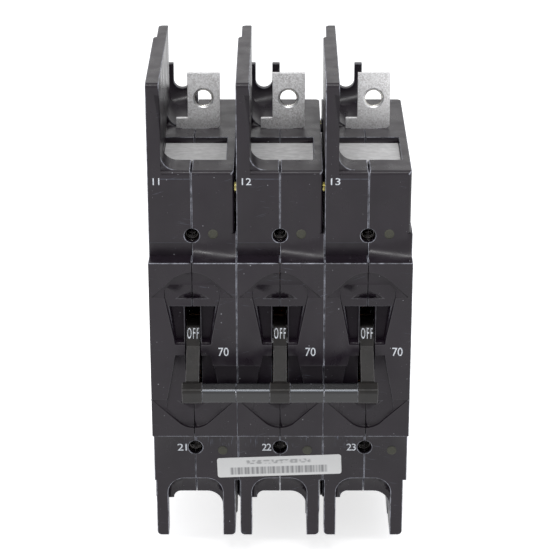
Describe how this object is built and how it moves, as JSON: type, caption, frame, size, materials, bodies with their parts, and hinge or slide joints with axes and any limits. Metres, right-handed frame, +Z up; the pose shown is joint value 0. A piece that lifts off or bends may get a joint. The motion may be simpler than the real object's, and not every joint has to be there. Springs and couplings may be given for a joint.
{
  "type": "circuit breaker",
  "caption": "Multi-pole panel-mounted hydraulic-magnetic circuit breaker with tied toggle handles, phase barriers and bolt-on tab terminals.",
  "frame": {"origin": "centre of the mounting-screw pattern, on the flat face that seats against the panel", "axes": "+X across the poles to the right as seen from the handle side, +Y from the face towards the back, +Z up towards the line end, away from the off position of the handles"},
  "size_m": [0.0761, 0.0839, 0.1513],
  "materials": {
    "case_moulding": "black moulded phenolic, satin, with whitish worn edges",
    "handle_moulding": "matte black moulding",
    "sleeve_moulding": "glossy black moulding",
    "tinned_copper": "tinned, speckled grey",
    "insert_metal": "bright plated thread",
    "rivet_brass": "bright brass",
    "grey_fibre": "light grey fibre sheet",
    "red_fibre": "vulcanised fibre",
    "plate_steel": "zinc plated steel",
    "spring_steel": "spring steel",
    "coil_wire": "enamelled copper wire",
    "copper_braid": "copper braid",
    "bare_copper": "copper with silver contact"
  },
  "bodies": {
    "case": {"arc_frame_1": "red_fibre", "arc_frame_2": "red_fibre", "arc_frame_3": "red_fibre", "arc_plates_1": "plate_steel", "arc_plates_2": "plate_steel", "arc_plates_3": "plate_steel", "arm_pins": "spring_steel", "case_left_1": "case_moulding", "case_left_2": "case_moulding", "case_left_3": "case_moulding", "case_right_1": "case_moulding", "case_right_2": "case_moulding", "case_right_3": "case_moulding", "case_rivets": "rivet_brass", "coil_1": "coil_wire", "coil_2": "coil_wire", "coil_3": "coil_wire", "core_spring_1": "spring_steel", "core_spring_2": "spring_steel", "core_spring_3": "spring_steel", "delay_tube_1": "rivet_brass", "delay_tube_2": "rivet_brass", "delay_tube_3": "rivet_brass", "handle_pins": "spring_steel", "line_terminal_1": "tinned_copper", "line_terminal_2": "tinned_copper", "line_terminal_3": "tinned_copper", "load_terminal_1": "tinned_copper", "load_terminal_2": "tinned_copper", "load_terminal_3": "tinned_copper", "magnet_frame_1": "plate_steel", "magnet_frame_2": "plate_steel", "magnet_frame_3": "plate_steel", "mounting_inserts": "insert_metal", "pigtail_1": "copper_braid", "pigtail_2": "copper_braid", "pigtail_3": "copper_braid", "vent_sheet_1": "grey_fibre", "vent_sheet_2": "grey_fibre", "vent_sheet_3": "grey_fibre"},
    "handles": {"handle_1": "handle_moulding", "handle_2": "handle_moulding", "handle_3": "handle_moulding", "tie_rod": "spring_steel", "tie_sleeves": "sleeve_moulding", "link_pins": "spring_steel"},
    "trip_bar": {"trip_bar": "handle_moulding"},
    "contact_arm_1": {"contact_arm_1": "bare_copper"},
    "toggle_link_1": {"toggle_link_1": "plate_steel"},
    "armature_1": {"armature_1": "plate_steel"},
    "delay_core_1": {"delay_core_1": "plate_steel"},
    "contact_arm_2": {"contact_arm_2": "bare_copper"},
    "toggle_link_2": {"toggle_link_2": "plate_steel"},
    "armature_2": {"armature_2": "plate_steel"},
    "delay_core_2": {"delay_core_2": "plate_steel"},
    "contact_arm_3": {"contact_arm_3": "bare_copper"},
    "toggle_link_3": {"toggle_link_3": "plate_steel"},
    "armature_3": {"armature_3": "plate_steel"},
    "delay_core_3": {"delay_core_3": "plate_steel"}
  },
  "joints": [
    {"name": "handle_swing", "type": "hinge", "parent": "case", "child": "handles", "pos_m": [0, 0.003, 0], "axis": [-1, 0, 0], "range_deg": [0, 46]},
    {"name": "arm_swing_1", "type": "hinge", "parent": "case", "child": "contact_arm_1", "pos_m": [-0.0254, 0.024, 0], "axis": [-1, 0, 0], "range_deg": [0, 14]},
    {"name": "link_swing_1", "type": "hinge", "parent": "handles", "child": "toggle_link_1", "pos_m": [-0.0254, 0.00806, 0.00215], "axis": [1, 0, 0], "range_deg": [0, 95.8]},
    {"name": "armature_swing_1", "type": "hinge", "parent": "case", "child": "armature_1", "pos_m": [-0.0254, 0.0572, -0.012], "axis": [1, 0, 0], "range_deg": [0, 6], "stiffness_Nm_per_rad": 0.02, "springref_deg": -11.46},
    {"name": "core_slide_1", "type": "slide", "parent": "case", "child": "delay_core_1", "axis": [0, 0, 1], "range_m": [0, 0.008], "stiffness_N_per_m": 4, "springref_m": -0.006, "deforming": ["core_spring_1"]},
    {"name": "arm_swing_2", "type": "hinge", "parent": "case", "child": "contact_arm_2", "pos_m": [0, 0.024, 0], "axis": [-1, 0, 0], "range_deg": [0, 14]},
    {"name": "link_swing_2", "type": "hinge", "parent": "handles", "child": "toggle_link_2", "pos_m": [0, 0.00806, 0.00215], "axis": [1, 0, 0], "range_deg": [0, 95.8]},
    {"name": "armature_swing_2", "type": "hinge", "parent": "case", "child": "armature_2", "pos_m": [0, 0.0572, -0.012], "axis": [1, 0, 0], "range_deg": [0, 6], "stiffness_Nm_per_rad": 0.02, "springref_deg": -11.46},
    {"name": "core_slide_2", "type": "slide", "parent": "case", "child": "delay_core_2", "axis": [0, 0, 1], "range_m": [0, 0.008], "stiffness_N_per_m": 4, "springref_m": -0.006, "deforming": ["core_spring_2"]},
    {"name": "arm_swing_3", "type": "hinge", "parent": "case", "child": "contact_arm_3", "pos_m": [0.0254, 0.024, 0], "axis": [-1, 0, 0], "range_deg": [0, 14]},
    {"name": "link_swing_3", "type": "hinge", "parent": "handles", "child": "toggle_link_3", "pos_m": [0.0254, 0.00806, 0.00215], "axis": [1, 0, 0], "range_deg": [0, 95.8]},
    {"name": "armature_swing_3", "type": "hinge", "parent": "case", "child": "armature_3", "pos_m": [0.0254, 0.0572, -0.012], "axis": [1, 0, 0], "range_deg": [0, 6], "stiffness_Nm_per_rad": 0.02, "springref_deg": -11.46},
    {"name": "core_slide_3", "type": "slide", "parent": "case", "child": "delay_core_3", "axis": [0, 0, 1], "range_m": [0, 0.008], "stiffness_N_per_m": 4, "springref_m": -0.006, "deforming": ["core_spring_3"]},
    {"name": "trip_bar_swing", "type": "hinge", "parent": "case", "child": "trip_bar", "pos_m": [0, 0.022, -0.0155], "axis": [-1, 0, 0], "range_deg": [0, 10], "stiffness_Nm_per_rad": 0.02, "springref_deg": -17.19}
  ],
  "couplings": [
    {"joint": "arm_swing_1", "follows": "handle_swing", "ratio": 0.30434},
    {"joint": "link_swing_1", "follows": "handle_swing", "ratio": 2.081},
    {"joint": "arm_swing_2", "follows": "handle_swing", "ratio": 0.30434},
    {"joint": "link_swing_2", "follows": "handle_swing", "ratio": 2.081},
    {"joint": "arm_swing_3", "follows": "handle_swing", "ratio": 0.30434},
    {"joint": "link_swing_3", "follows": "handle_swing", "ratio": 2.081}
  ]
}
